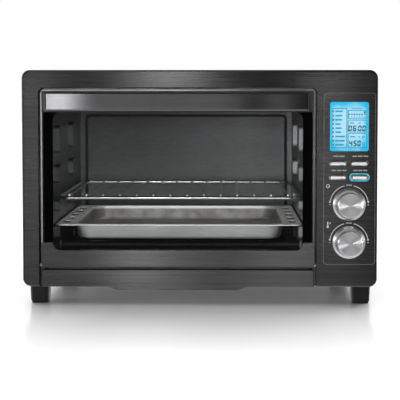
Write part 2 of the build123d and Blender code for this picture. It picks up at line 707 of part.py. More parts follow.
def door_bottom_rail():
    """The folded sheet below the window: its top edge forms the window's lower round corners."""
    bend = 2.4
    depth = DOOR_DEPTH - 2.0
    outer = rect((FRONT, FRONT + 50.0), (DOOR_BOTTOM, RAIL_Z + 50.0), bend)
    inner = rect(
        (FRONT + BEZEL_SHEET, FRONT + 51.0),
        (DOOR_BOTTOM + BEZEL_SHEET, RAIL_Z + 51.0),
        bend - BEZEL_SHEET,
    )
    profile = (outer - inner) & rect((FRONT, FRONT + depth), (DOOR_BOTTOM, RAIL_Z))
    rail = sideways(profile, DOOR_X)
    window = rect(WINDOW_X, (WINDOW_Z[0], RAIL_Z + 60.0), WINDOW_CORNER)
    rail -= upright(window, (FRONT - 1, FRONT + 5))
    near_top = grown((RAIL_Z, RAIL_Z), 0.01)
    shoulders = rail.edges().filter_by(Axis.Y).filter_by_position(Axis.Z, *near_top)
    shoulders = shoulders.filter_by_position(Axis.X, *grown(WINDOW_X, 0.1))
    rail = fillet(shoulders, 1.6)
    notch = block(LEVER_X, (FRONT + 2.0, FRONT + depth + 1), (DOOR_BOTTOM - 1, DOOR_BOTTOM + 2))
    return rail - both_sides(notch)


HANDLE_HALF_W = 170.5
HANDLE_Z = (259.4, 283.0)
HANDLE_CZ = sum(HANDLE_Z) / 2
HANDLE_T = 11.0
HANDLE_Y = (FRONT - HANDLE_PROUD, FRONT - HANDLE_PROUD + HANDLE_T)
POST_X = 150.0


def post_places():
    return (DOOR_CX - POST_X, DOOR_CX + POST_X)


def door_handle():
    """A wide flat bar with bevelled long edges and rounded ends."""
    x = grown((DOOR_CX, DOOR_CX), HANDLE_HALF_W)
    profile = Polyline(
        (HANDLE_Y[1], HANDLE_Z[0] + 1.0),
        (HANDLE_Y[0] + 1.8, HANDLE_Z[0]),
        (HANDLE_Y[0], HANDLE_Z[0] + 1.9),
        (HANDLE_Y[0], HANDLE_Z[1] - 1.9),
        (HANDLE_Y[0] + 1.8, HANDLE_Z[1]),
        (HANDLE_Y[1], HANDLE_Z[1] - 1.0),
        close=True,
    )
    bar = sideways(make_face(profile), x)
    ends = bar.edges().filter_by(Axis.Z)
    front_ends = ends.group_by(Axis.Y)[0]
    bar = fillet(front_ends, 3.5)
    for px in post_places():
        bar -= rod((px, HANDLE_Y[1] - 7, HANDLE_CZ), (px, HANDLE_Y[1] + 1, HANDLE_CZ), SCREW_R + 0.02)
    return bar


def handle_posts():
    """Two oval posts that carry the bar."""
    made = []
    for x in post_places():
        plane_x = grown((x, x), 9.0)
        post = upright(rect(plane_x, grown((HANDLE_CZ, HANDLE_CZ), 7.5), 7.0), (HANDLE_Y[1], FRONT))
        made.append(post - rod((x, HANDLE_Y[1] - 1, HANDLE_CZ), (x, FRONT + 1, HANDLE_CZ), SCREW_R + 0.1))
    return made


def handle_screws():
    """Screws from inside the door, through the posts, into the bar."""
    length = FRONT + BEZEL_SHEET - (HANDLE_Y[1] - 6.0)
    seat = FRONT + BEZEL_SHEET
    return [screw((x, seat, HANDLE_CZ), (0, 1, 0), length=length) for x in post_places()]


LEVER_X = (DOOR_X[0] + 3.0, DOOR_X[0] + 5.0)
LEVER_Z = (PIN_Z - 3.3, PIN_Z + 5.0)
LEVER_REACH = 19.0
LEVER_END = PIN_Y + LEVER_REACH + 4.0


def hinge_levers():
    """Steel levers that turn with the door and pull on its springs."""
    lever = sideways(rect((PIN_Y - 3.6, LEVER_END), LEVER_Z, 3.9), LEVER_X)
    wide = grown(LEVER_X, 1)
    lever -= rod((wide[0], PIN_Y, PIN_Z), (wide[1], PIN_Y, PIN_Z), PIN_R)
    tip = PIN_Y + LEVER_REACH
    lever -= rod((wide[0], tip, PIN_Z), (wide[1], tip, PIN_Z), 1.4)
    return both_sides(lever)


def hinge_pins():
    """Brass pins, fixed in the door's lower corners, that turn in the brackets."""
    pin = rod((OPENING_X[0] - 4.5, PIN_Y, PIN_Z), (LEVER_X[1], PIN_Y, PIN_Z), PIN_R)
    return both_sides(pin)


def hinge_brackets():
    """Plates behind the bezel that hold the door's pins."""
    x = (OPENING_X[0] - 4.3, OPENING_X[0] - BEZEL_SHEET - 0.1)
    plate = sideways(rect((FRONT + BEZEL_SHEET + 0.3, FACE_Y[0]), (38.0, 70.0), 1.0), x)
    wide = grown(x, 1)
    plate -= rod((wide[0], PIN_Y, PIN_Z), (wide[1], PIN_Y, PIN_Z), PIN_R + RUNNING)
    return both_sides(plate)


SPRING_R = 3.4
SPRING_WIRE_R = 0.6
SPRING_TURNS = 28
SPRING_START = LEVER_END + 3.5
SPRING_END = SPRING_START + 2 * SPRING_WIRE_R * SPRING_TURNS
SPRING_TAB_Y = SPRING_END + 3.0


def door_springs():
    """Close-wound extension springs between the levers and the tabs on the rails."""
    wire = SPRING_WIRE_R
    profile = rect((0, SPRING_R - wire), (0, SPRING_END - SPRING_START))
    for i in range(SPRING_TURNS):
        profile += Pos(SPRING_R - wire, wire * (2 * i + 1)) * Circle(wire * 1.02)
    profile += rect((0, wire), (LEVER_END + REST_GAP - SPRING_START, SPRING_TAB_Y - SPRING_START))
    coil = revolve(Plane.XZ * profile, Axis.Z)
    x = sum(LEVER_X) / 2
    return both_sides(Pos(x, SPRING_START, PIN_Z) * (Rot(-90, 0, 0) * coil))


# ---------------------------------------------------------------- control column
def button_places():
    return [(x, z) for z in BUTTON_ROWS for x in BUTTON_COLUMNS]


def pill(x, z, width, height):
    return Pos(x, z) * SlotOverall(width, height)


def control_panel():
    """The overlay plate on the bezel, with the display's window and the controls' holes."""
    plate = upright(rect(PANEL_X, PANEL_Z, 3.0), (PANEL_FRONT, FRONT))
    plate = round_front(plate, 0.7)
    depth = (PANEL_FRONT - 1, FRONT + 1)
    plate -= upright(rect(grown(LENS_X, 0.2), grown(LENS_Z, 0.2), 3.0), depth)
    for x, z in button_places()[:3]:
        plate -= upright(pill(x, z, BUTTON_W + 0.8, BUTTON_H + 0.8), depth)
    x, z = button_places()[3]
    plate -= upright(pill(x, z, RING_W + 0.1, RING_H + 0.1), depth)
    for z in KNOB_ROWS.values():
        plate -= upright(Pos(KNOB_X, z) * Circle(5.0), depth)
    return plate


RING_W = 27.0
RING_H = 10.8


def button_light_ring():
    """The light guide round the fourth button."""
    x, z = button_places()[3]
    ring = pill(x, z, RING_W, RING_H) - pill(x, z, BUTTON_W + 0.8, BUTTON_H + 0.8)
    return round_front(upright(ring, (PANEL_FRONT - 0.5, FRONT)), 0.4)


def push_button(x, z):
    """A pill-shaped cap with a crowned face, a flange behind the panel, and a stem."""
    cap = upright(pill(x, z, BUTTON_W, BUTTON_H), (PANEL_FRONT - 2.4, FRONT + 0.8))
    cap = round_front(cap, 2.3)
    cap += upright(pill(x, z, BUTTON_W + 2.6, BUTTON_H + 2.6), (FRONT + 0.3, FRONT + 1.5))
    return cap + rod((x, FRONT + 1.5, z), (x, FRONT + 7.0, z), 1.5)


def board_switches():
    """The switches on the board that the buttons' stems press."""
    made = []
    for x, z in button_places():
        body = block(grown((x, x), 3.0), (FRONT + 9.5, BOARD_Y[0]), grown((z, z), 3.0))
        top = FRONT + 7.0 + BUTTON_TRAVEL + 0.2
        made.append(body + rod((x, top, z), (x, FRONT + 9.5, z), 1.7))
    return made


def display_lens():
    """The display's front window."""
    lens = upright(rect(LENS_X, LENS_Z, 2.8), (PANEL_FRONT - 0.3, FRONT + 0.8))
    return round_front(lens, 0.3)


def display_module():
    """The liquid-crystal module behind the lens."""
    x, z = grown(LENS_X, 1.5), grown(LENS_Z, 1.8)
    return block(x, (FRONT + 0.8, FRONT + 8.0), z)


def standoff_places():
    return [(x, z) for x in (CUTOUT_X[0] + 3.2, CUTOUT_X[1] - 3.2) for z in (64.0, 275.0)]


def control_board():
    """The circuit board that carries the display, the switches and the encoders."""
    board = upright(rect((CUTOUT_X[0] - 1, CUTOUT_X[1] + 1), (60.5, 278.5), 1.5), BOARD_Y)
    for x, z in standoff_places():
        board -= rod((x, BOARD_Y[0] - 1, z), (x, BOARD_Y[1] + 1, z), 1.2)
    return board


def encoder(z):
    """A rotary encoder: a square body on the board, with a threaded collar round its shaft."""
    body = block(grown((KNOB_X, KNOB_X), 6.5), (FRONT + 6.5, BOARD_Y[0]), grown((z, z), 6.5))
    body += rod((KNOB_X, FRONT - 1.0, z), (KNOB_X, FRONT + 6.5, z), 4.5)
    return body - rod((KNOB_X, FRONT - 4, z), (KNOB_X, FRONT + 11, z), SHAFT_R + RUNNING)


def encoder_shaft(z):
    """The encoder's turning shaft, flatted where the knob grips it."""
    shaft = rod((KNOB_X, PANEL_FRONT - 13.0, z), (KNOB_X, FRONT + 10.0, z), SHAFT_R)
    flat = block(
        grown((KNOB_X, KNOB_X), 4.0), (PANEL_FRONT - 14.0, PANEL_FRONT - 4.0), (z + 2.0, z + 4.0)
    )
    return shaft - flat


KNURLS = 60
SKIRT_Y = (PANEL_FRONT - 5.2, PANEL_FRONT - 0.5)


def knob(z):
    """A turned metal knob: a dished skirt, and a knurled grip with a flat face."""
    face = PANEL_FRONT - KNOB_PROUD
    grip = rod((KNOB_X, face, z), (KNOB_X, SKIRT_Y[1], z), KNOB_R)
    grip = round_front(grip, 1.0)
    skirt = rod((KNOB_X, SKIRT_Y[0], z), (KNOB_X, SKIRT_Y[1], z), KNOB_SKIRT_R)
    skirt = chamfer(skirt.edges().group_by(Axis.Y)[0], 2.6)
    skirt -= rod((KNOB_X, SKIRT_Y[0] - 1, z), (KNOB_X, SKIRT_Y[0] + KNOB_GROOVE, z), KNOB_R + 2.3)
    body = grip + skirt
    for i in range(KNURLS):
        turn = radians(360.0 * i / KNURLS)
        x, up = KNOB_X + KNOB_R * cos(turn), z + KNOB_R * sin(turn)
        body -= rod((x, face + 3.0, up), (x, SKIRT_Y[0] + KNOB_GROOVE, up), 0.45)
    socket = rod((KNOB_X, PANEL_FRONT - 13.2, z), (KNOB_X, PANEL_FRONT + 1, z), SHAFT_R + 0.02)
    socket -= block(
        grown((KNOB_X, KNOB_X), 4.0), (PANEL_FRONT - 14.0, PANEL_FRONT - 4.2), (z + 2.02, z + 4.0)
    )
    recess = rod((KNOB_X, PANEL_FRONT - 4.0, z), (KNOB_X, PANEL_FRONT + 1, z), KNOB_R - 4.0)
    return body - socket - recess


# ---------------------------------------------------------------- power electronics
POWER_BOARD_X = (222.0, 223.6)
POWER_BOARD_Y = (0.0, 110.0)
POWER_BOARD_Z = (52.0, 152.0)


def power_board():
    return block(POWER_BOARD_X, POWER_BOARD_Y, POWER_BOARD_Z)


def power_components():
    """A transformer, two relays and two capacitors on the board, and the mains terminals."""
    face = POWER_BOARD_X[0]
    core_x = (face - 32.0, face)
    core = block(core_x, (12.0, 52.0), (98.0, 134.0))
    made = [core + block(grown(core_x, -3.0), (6.0, 58.0), (104.0, 128.0))]
    made += [block((face - 16.0, face), (y, y + 28.0), (62.0, 82.0)) for y in (12.0, 50.0)]
    made += [rod((face - 20.0, 80.0, z), (face, 80.0, z), 6.0) for z in (104.0, 124.0)]
    y = (BACK - 55.0, BACK - 35.0)
    z = BODY_BOTTOM + BEZEL_SHEET
    terminals = block((178.0, 214.0), y, (z, z + 14.0))
    for x in (184.0, 196.0, 208.0):
        terminals -= rod((x, sum(y) / 2, z + 8), (x, sum(y) / 2, z + 16), 3.0)
    return made + [terminals]


# ---------------------------------------------------------------- all nodes
NODES = {
    "front_frame": front_frame,
    "outer_wrap": outer_wrap,
    "rear_cover": rear_cover,
    "base_plate": base_plate,
    "casing_screws": casing_screws,
    "feet": feet,
    "foot_soles": foot_soles,
    "rear_spacers": rear_spacers,
    "cord_gland": cord_gland,
    "face_frame": face_frame,
    "cavity_left_wall": side_wall,
    "cavity_right_wall": cavity_right_wall,
    "cavity_back": cavity_back,
    "cavity_top": cavity_top,
    "cavity_floor": cavity_floor,
    "heater_rods": heater_rods,
    "heater_bushes": heater_bushes,
    "temperature_probe": temperature_probe,
    "thermal_fuse": thermal_fuse,
    "heat_shield": heat_shield,
    "fan_motor": fan_motor,
    "fan_wheel": fan_wheel,
    "fan_shaft": fan_shaft,
    "mounting_posts": mounting_posts,
    "crumb_tray_rails": crumb_tray_rails,
    "hinge_brackets": hinge_brackets,
    "door_springs": door_springs,
    "rack_frame": rack_frame,
    "rack_wires": rack_wires,
    "baking_pan": baking_pan,
    "crumb_tray_front": crumb_tray_front,
    "crumb_tray": crumb_tray,
    "door_frame": door_frame,
    "door_glass": door_glass,
    "glass_gasket": glass_gasket,
    "door_top_rail": door_top_rail,
    "door_bottom_rail": door_bottom_rail,
    "door_handle": door_handle,
    "handle_posts": handle_posts,
    "handle_screws": handle_screws,
    "hinge_levers": hinge_levers,
    "hinge_pins": hinge_pins,
    "control_panel": control_panel,
    "button_light_ring": button_light_ring,
    "display_lens": display_lens,
    "display_module": display_module,
    "control_board": control_board,
    "board_switches": board_switches,
    "encoders": lambda: [encoder(z) for z in KNOB_ROWS.values()],
    "time_knob": lambda: knob(KNOB_ROWS["time"]),
    "time_knob_shaft": lambda: encoder_shaft(KNOB_ROWS["time"]),
    "temp_knob": lambda: knob(KNOB_ROWS["temp"]),
    "temp_knob_shaft": lambda: encoder_shaft(KNOB_ROWS["temp"]),
    "button_upper_left": lambda: push_button(*button_places()[0]),
    "button_upper_right": lambda: push_button(*button_places()[1]),
    "button_lower_left": lambda: push_button(*button_places()[2]),
    "button_lower_right": lambda: push_button(*button_places()[3]),
    "power_board": lambda: block(POWER_BOARD_X, POWER_BOARD_Y, POWER_BOARD_Z),
    "power_components": power_components,
}


def solids_of(shape):
    """Every solid of a shape, or of a list of shapes."""
    parts = shape if isinstance(shape, list) else [shape]
    return [solid for part in parts for solid in part.solids()]


def main():
    os.makedirs("parts", exist_ok=True)
    for name, make in NODES.items():
        solids = solids_of(make())
        whole = solids[0] if len(solids) == 1 else Compound(children=solids)
        export_step(whole, f"parts/{name}.step")


main()
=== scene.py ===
"""Looks of a countertop toaster oven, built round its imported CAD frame.

The world is in metres. Textures and flat pieces are sized in mm, which MM turns to metres.
"""

import math

import bmesh
import bpy
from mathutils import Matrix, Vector


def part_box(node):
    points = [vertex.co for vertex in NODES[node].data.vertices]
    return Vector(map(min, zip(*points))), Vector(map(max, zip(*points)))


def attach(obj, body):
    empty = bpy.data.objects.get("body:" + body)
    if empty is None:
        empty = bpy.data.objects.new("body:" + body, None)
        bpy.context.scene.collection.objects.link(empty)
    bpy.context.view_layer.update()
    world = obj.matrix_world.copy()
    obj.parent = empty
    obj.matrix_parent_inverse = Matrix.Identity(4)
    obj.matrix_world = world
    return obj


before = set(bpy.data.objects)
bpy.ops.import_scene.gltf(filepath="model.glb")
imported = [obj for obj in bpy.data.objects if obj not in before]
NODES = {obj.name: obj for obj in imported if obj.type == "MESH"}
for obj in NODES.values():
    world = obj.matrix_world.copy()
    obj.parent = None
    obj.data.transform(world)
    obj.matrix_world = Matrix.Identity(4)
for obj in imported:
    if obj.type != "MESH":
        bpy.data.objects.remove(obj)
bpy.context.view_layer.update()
MM = 0.001


# ---------------------------------------------------------------- materials


class Finish:
    """A node material round one Principled shader, with its textures laid in the oven's own frame."""

    def __init__(self, name, **sockets):
        self.material = bpy.data.materials.new(name)
        self.material.use_nodes = True
        tree = self.material.node_tree
        self.nodes, self.links = tree.nodes, tree.links
        self.shader = self.nodes["Principled BSDF"]
        self.out = self.nodes["Material Output"]
        for socket, value in sockets.items():
            self.shader.inputs[socket.replace("_", " ")].default_value = value
        self.place = self.nodes.new("ShaderNodeTexCoord").outputs["Object"]

    def node(self, kind, values=None, **settings):
        made = self.nodes.new("ShaderNode" + kind)
        for name, value in settings.items():
            setattr(made, name, value)
        for socket, value in (values or {}).items():
            if isinstance(value, bpy.types.NodeSocket):
                self.links.new(value, made.inputs[socket])
            else:
                made.inputs[socket].default_value = value
        return made

    def scaled(self, size):
        """The place, counted in steps of this size in mm, one number or three."""
        sides = size if isinstance(size, tuple) else (size,) * 3
        mapping = self.node("Mapping", {"Vector": self.place, "Scale": [1 / (side * MM) for side in sides]})
        return mapping.outputs[0]

    def noise(self, size, detail=2.0):
        """Noise from 0 to 1 with features of about this size."""
        values = {"Vector": self.scaled(size), "Scale": 1.0, "Detail": detail}
        return self.node("TexNoise", values).outputs["Fac"]

    def cells(self, size):
        """A plain random colour in each cell of about this size."""
        return self.node("TexVoronoi", {"Vector": self.scaled(size), "Scale": 1.0}).outputs["Color"]

    def axis(self, name):
        """One coordinate of the place, in metres."""
        return self.node("SeparateXYZ", {"Vector": self.place}).outputs[name]

    def ramp(self, source, *stops):
        """Colours along source. Each stop is its place and a grey or a colour."""
        made = self.node("ValToRGB", {"Fac": source})
        stops = [(at, colour if isinstance(colour, tuple) else (colour,) * 3) for at, colour in stops]
        elements = made.color_ramp.elements
        while len(elements) < len(stops):
            elements.new(0.5)
        for element, (at, colour) in zip(elements, stops):
            element.position, element.color = at, (*colour, 1)
        return made.outputs["Color"]

    def span(self, source, low, high, start=0.3, end=0.7):
        """From low to high while the source runs from start to end."""
        values = {"Value": source, "From Min": start, "From Max": end, "To Min": low, "To Max": high}
        return self.node("MapRange", values).outputs["Result"]

    def mix(self, factor, a, b, blend="MIX"):
        """Two colours or greys mixed. The Mix node's sockets are 0 for its factor, 6 and 7 in, and 2 out."""
        made = self.nodes.new("ShaderNodeMix")
        made.data_type, made.blend_type = "RGBA", blend
        for index, value in ((0, factor), (6, a), (7, b)):
            if isinstance(value, bpy.types.NodeSocket):
                self.links.new(value, made.inputs[index])
            elif index:
                made.inputs[index].default_value = (*((value,) * 3 if isinstance(value, float) else value), 1)
            else:
                made.inputs[index].default_value = value
        return made.outputs[2]

    def maths(self, kind, a, b=0.0):
        return self.node("Math", {0: a, 1: b}, operation=kind).outputs[0]

    def set(self, **sources):
        """Link sources to the shader's sockets of these names, with _ for a space."""
        for socket, source in sources.items():
            self.links.new(source, self.shader.inputs[socket.replace("_", " ")])
        return self

    def bump(self, height, strength, depth):
        """A relief of depth mm."""
        values = {"Height": height, "Strength": strength, "Distance": depth * MM}
        return self.set(Normal=self.node("Bump", values).outputs["Normal"])

    def brushed(self, axis, turn=0.0, strength=0.75):
        """Highlights that spread across brush lines laid along (or, turned a quarter, round) an axis."""
        self.shader.inputs["Anisotropic"].default_value = strength
        self.shader.inputs["Anisotropic Rotation"].default_value = turn
        return self.set(Tangent=self.node("Tangent", direction_type="RADIAL", axis=axis).outputs[0])


def brushed_metal(name, dark, light, smooth, rough, strength=0.75, relief=0.012):
    """Sheet metal brushed along X: fine lines in its colour, gloss and relief, and faint wiped clouds."""
    f = Finish(name, Metallic=1.0)
    long_lines, fine_lines = f.noise((260, 1.1, 1.1), 3), f.noise((60, 0.5, 0.5), 2)
    clouds = f.noise((160, 60, 60), 2)
    black_to_white = (0.3, 0.0), (0.7, 1.0)
    lines = f.mix(0.45, f.ramp(long_lines, *black_to_white), f.ramp(fine_lines, *black_to_white))
    colour = f.ramp(lines, (0.0, dark), (1.0, light))
    colour = f.mix(0.35, colour, f.ramp(clouds, (0.3, 0.55), (0.7, 1.0)), "MULTIPLY")
    gloss = f.maths("ADD", f.span(fine_lines, smooth, rough), f.span(clouds, -0.03, 0.03))
    f.set(Base_Color=colour, Roughness=gloss).bump(lines, 0.5, relief)
    return f.brushed("X", 0.0, strength).material


def speckled(name, dark, light, size, smooth, rough, relief, depth, metallic=0.0, cloud=60, shine=0.5):
    """A moulded, coated or cast surface: fine grain, with larger clouds in its colour and gloss."""
    f = Finish(name, Metallic=metallic, Specular_IOR_Level=shine)
    grain, clouds = f.noise(size, 3), f.noise(cloud, 3)
    colour = f.mix(0.5, f.ramp(grain, (0.3, dark), (0.7, light)), f.ramp(clouds, (0.3, dark), (0.7, light)))
    f.set(Base_Color=colour, Roughness=f.span(clouds, smooth, rough)).bump(grain, relief, depth)
    return f.material


def cavity_steel():
    """Satin oven lining: a fine rolled grain, faint clouds, and a warm heat tint near the rods at its top."""
    f = Finish("cavity_steel", Metallic=0.92)
    grain, clouds = f.noise((14, 3, 3), 3), f.noise(70, 3)
    steel = f.mix(0.5, f.ramp(grain, (0.3, (0.22, 0.22, 0.222)), (0.7, (0.31, 0.31, 0.312))),
                  f.ramp(clouds, (0.3, (0.21, 0.21, 0.215)), (0.7, (0.32, 0.32, 0.325))))
    heat = f.maths("MULTIPLY", f.span(f.axis("Z"), 0.0, 0.5, 0.225, 0.285), f.span(f.noise(45, 2), 0.4, 1.0))
    f.set(Base_Color=f.mix(heat, steel, (0.22, 0.17, 0.12)), Roughness=f.span(clouds, 0.34, 0.46))
    return f.bump(grain, 0.25, 0.03).material


def pan_steel():
    """A used baking pan: bright rolled metal on its rim and outer front, browned by baked oil inside."""
    f = Finish("pan_steel", Metallic=0.55)
    grain, clouds, stains = f.noise((40, 2, 2), 3), f.noise(50, 3), f.noise(22, 3)
    steel = f.ramp(f.mix(0.5, grain, clouds), (0.3, (0.56, 0.55, 0.54)), (0.7, (0.74, 0.73, 0.71)))
    front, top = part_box("baking_pan")[0].y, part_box("baking_pan")[1].z
    below_rim = f.span(f.axis("Z"), 0.9, 0.0, top - 5.0 * MM, top - 1.5 * MM)
    behind_front = f.span(f.axis("Y"), 0.0, 1.0, front + 12 * MM, front + 18 * MM)
    brown = f.maths("MULTIPLY", f.maths("MULTIPLY", below_rim, behind_front), f.span(stains, 0.75, 1.0))
    f.set(Base_Color=f.mix(brown, steel, (0.05, 0.041, 0.036)), Roughness=f.span(clouds, 0.36, 0.48))
    return f.bump(grain, 0.12, 0.03).material


def chrome():
    """Bright plating, duller and browner where a film has baked on."""
    f = Finish("chrome", Metallic=1.0)
    film = f.noise(22, 3)
    colour = f.ramp(film, (0.3, (0.62, 0.61, 0.59)), (0.7, (0.84, 0.85, 0.86)))
    f.set(Base_Color=colour, Roughness=f.span(film, 0.26, 0.12))
    return f.bump(f.noise(1.4, 2), 0.08, 0.02).material


def zinc():
    """Galvanised sheet with its crystal spangle."""
    f = Finish("zinc", Metallic=1.0)
    spangle = f.node("SeparateColor", {"Color": f.cells(9)}).outputs[0]
    shade = f.mix(0.3, spangle, f.noise(30, 3))
    colour = f.ramp(shade, (0.1, (0.38, 0.40, 0.42)), (0.9, (0.66, 0.68, 0.70)))
    f.set(Base_Color=colour, Roughness=f.span(spangle, 0.30, 0.5, 0.0, 1.0))
    return f.bump(f.noise(2, 3), 0.1, 0.02).material


GRIP_RADIUS = 16.4 * MM
RINGS_PER_METRE = 2600.0


def knob_metal(name, centre_x, centre_z):
    """Turned aluminium: rings round the knob's own axis, highlights that stand across them, and painted
    shade, a dark ring in the colour over the groove round the grip's foot."""
    f = Finish(name, Metallic=1.0)
    x, z = (f.maths("SUBTRACT", f.axis(a), c) for a, c in (("X", centre_x), ("Z", centre_z)))
    radius = f.maths("SQRT", f.maths("ADD", f.maths("MULTIPLY", x, x), f.maths("MULTIPLY", z, z)))
    along_radius = {"W": radius, "Scale": RINGS_PER_METRE, "Detail": 2.0}
    rings = f.node("TexNoise", along_radius, noise_dimensions="1D").outputs["Fac"]
    film = f.noise(9, 3)
    turned = f.ramp(rings, (0.3, (0.60, 0.60, 0.61)), (0.7, (0.80, 0.80, 0.81)))
    # painted shade: the colour darkens in a ring over the groove at the grip's foot, where the groove lies in
    # shadow
    groove_shade = f.ramp(radius, (GRIP_RADIUS - 0.4 * MM, 0.0), (GRIP_RADIUS + 0.2 * MM, 1.0),
                    (GRIP_RADIUS + 2.0 * MM, 1.0), (GRIP_RADIUS + 2.6 * MM, 0.0))
    f.set(Base_Color=f.mix(groove_shade, turned, (0.16, 0.16, 0.165)))
    f.set(Roughness=f.maths("ADD", f.span(rings, 0.28, 0.36), f.span(film, -0.015, 0.015)))
    return f.bump(rings, 0.15, 0.005).brushed("Y", 0.25, 0.9).material


def clear_glass(name, tint, gloss_ior, smear):
    """Plain flat glass: it lets the lamps through, and keeps a faint gloss with wiped smears."""
    f = Finish(name)
    f.nodes.remove(f.shader)
    film = f.noise((60, 60, 25), 3)
    smeared = tuple(c * 0.985 for c in tint)
    clear = f.node("BsdfTransparent", {"Color": f.ramp(film, (0.3, tint), (0.7, smeared))})
    gloss = f.node("BsdfGlossy", {"Color": (1, 1, 1, 1), "Roughness": f.span(film, 0.02, smear)})
    edge = f.node("Fresnel", {"IOR": gloss_ior})
    both = f.node("MixShader", {0: edge.outputs[0], 1: clear.outputs[0], 2: gloss.outputs[0]})
    f.links.new(both.outputs[0], f.out.inputs["Surface"])
    return f.material


def circuit_board():
    """Green board with rows of lighter tracks, which lie in the plane of the upright boards."""
    f = Finish("circuit_board", Specular_IOR_Level=0.5)
    upright = f.node("Mapping", {"Vector": f.place, "Rotation": (math.radians(90), 0, 0)})
    tracks = f.node("TexBrick", {
        "Vector": upright.outputs[0],
        "Color1": (0.006, 0.07, 0.03, 1), "Color2": (0.01, 0.10, 0.045, 1), "Mortar": (0.03, 0.20, 0.09, 1),
        "Scale": 260.0, "Mortar Size": 0.03, "Brick Width": 0.9, "Row Height": 0.35})
    film = f.noise(12, 3)
    f.set(Base_Color=tracks.outputs["Color"], Roughness=f.span(film, 0.3, 0.45))
    return f.bump(tracks.outputs["Fac"], 0.2, 0.03).material


def display_glow():
    """The backlight: pale in the middle, deeper blue at the rim and in the corners."""
    f = Finish("display_glow", Roughness=0.4)
    low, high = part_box("display_lens")
    middle, half = (low + high) / 2, (high - low) / 2
    sides = []
    for axis, at, reach in (("X", middle.x, half.x), ("Z", middle.z, half.z)):
        part = f.maths("DIVIDE", f.maths("SUBTRACT", f.axis(axis), at), reach)
        sides.append(f.maths("POWER", f.maths("ABSOLUTE", part), 4.0))
    rim = f.maths("ADD", f.maths("ADD", *sides), f.span(f.noise((14, 14, 10), 2), -0.28, 0.28))
    colour = f.ramp(rim, (0.05, (0.47, 0.78, 0.98)), (0.5, (0.24, 0.66, 0.88)), (1.0, (0.01, 0.52, 0.82)))
    f.set(Base_Color=f.mix(0.8, colour, (0.0, 0.05, 0.08)), Emission_Color=colour)
    f.shader.inputs["Emission Strength"].default_value = 0.84
    return f.material


def glowing(name, colour, bright, size, strength):
    """A part that gives off a slightly uneven light of its own colour."""
    f = Finish(name, Roughness=0.35, Emission_Strength=strength)
    shade = f.ramp(f.noise(size, 2), (0.3, colour), (0.7, bright))
    return f.set(Base_Color=shade, Emission_Color=shade).material


def printed(name, colour, worn, gloss=0.35):
    """Screen-printed ink, slightly uneven."""
    f = Finish(name, Specular_IOR_Level=gloss)
    ink = f.noise(0.9, 3)
    f.set(Base_Color=f.ramp(ink, (0.3, worn), (0.7, colour)), Roughness=f.span(ink, 0.45, 0.6))
    return f.bump(ink, 0.1, 0.01).material


def heater_sheath():
    """Dark alloy tube with heat scale."""
    f = Finish("heater_sheath", Metallic=0.55)
    scale, clouds = f.noise((6, 2, 2), 4), f.noise(28, 3)
    colour = f.mix(0.5, f.ramp(scale, (0.3, (0.05, 0.048, 0.047)), (0.7, (0.13, 0.12, 0.115))),
                   f.ramp(clouds, (0.3, (0.06, 0.055, 0.06)), (0.7, (0.14, 0.115, 0.10))))
    f.set(Base_Color=colour, Roughness=f.span(scale, 0.45, 0.65))
    return f.bump(scale, 0.3, 0.05).material


def brass():
    """Turned brass, tarnished in patches."""
    f = Finish("brass", Metallic=1.0)
    film = f.noise(2.5, 3)
    colour = f.ramp(film, (0.3, (0.42, 0.26, 0.10)), (0.7, (0.80, 0.56, 0.25)))
    f.set(Base_Color=colour, Roughness=f.span(film, 0.42, 0.22))
    return f.bump(film, 0.1, 0.02).material


def grey(shade, blue=0.0):
    return (shade, shade, shade + blue)


FINISHES = {
    "black_steel": brushed_metal("black_steel", (0.046, 0.045, 0.046), (0.080, 0.079, 0.081),
                                 smooth=0.25, rough=0.33, strength=0.88),
    "black_paint": speckled("black_paint", 0.010, 0.020, size=1.1, smooth=0.36, rough=0.46,
                            relief=0.35, depth=0.05),
    "dark_aluminium": brushed_metal("dark_aluminium", grey(0.085, 0.003), grey(0.140, 0.004),
                                    smooth=0.19, rough=0.25, strength=0.97),
    "cavity_steel": cavity_steel(),
    "plain_steel": speckled("plain_steel", grey(0.42), (0.62, 0.62, 0.61), size=3.0, smooth=0.28, rough=0.40,
                            relief=0.12, depth=0.02, metallic=1.0, cloud=20),
    "chrome": chrome(),
    "pan_steel": pan_steel(),
    "heater_sheath": heater_sheath(),
    "ceramic": speckled("ceramic", (0.62, 0.58, 0.50), (0.84, 0.81, 0.74), size=1.0, smooth=0.45, rough=0.6,
                        relief=0.2, depth=0.05, cloud=12),
    "clear_glass": clear_glass("clear_glass", (0.93, 0.94, 0.94), gloss_ior=1.35, smear=0.05),
    "silicone": speckled("silicone", 0.020, 0.034, size=1.0, smooth=0.5, rough=0.65, relief=0.2, depth=0.03),
    "brass": brass(),
    "black_plastic": speckled("black_plastic", 0.007, 0.014, size=0.7, smooth=0.38, rough=0.52, relief=0.25,
                              depth=0.03, shine=0.3),
    "foot_rubber": speckled("foot_rubber", 0.010, 0.020, size=1.2, smooth=0.6, rough=0.8, relief=0.3,
                            depth=0.05, shine=0.25),
    "button_metal": brushed_metal("button_metal", grey(0.52, 0.01), grey(0.74, 0.01),
                                  smooth=0.28, rough=0.36, strength=0.85, relief=0.006),
    "light_guide": glowing("light_guide", (0.02, 0.22, 0.30), (0.07, 0.40, 0.52), size=5, strength=0.6),
    "display_window": clear_glass("display_window", grey(0.99), gloss_ior=1.15, smear=0.04),
    "display_blue": display_glow(),
    "circuit_board": circuit_board(),
    "components": speckled("components", grey(0.02, 0.002), (0.16, 0.15, 0.13), size=6.0, smooth=0.3,
                           rough=0.5, relief=0.2, depth=0.1, cloud=9),
    "zinc": zinc(),
}
for node in NODES.values():
    slot_name = node.data.materials[0].name.split(".")[0]
    if slot_name in FINISHES:
        node.data.materials[0] = FINISHES[slot_name]
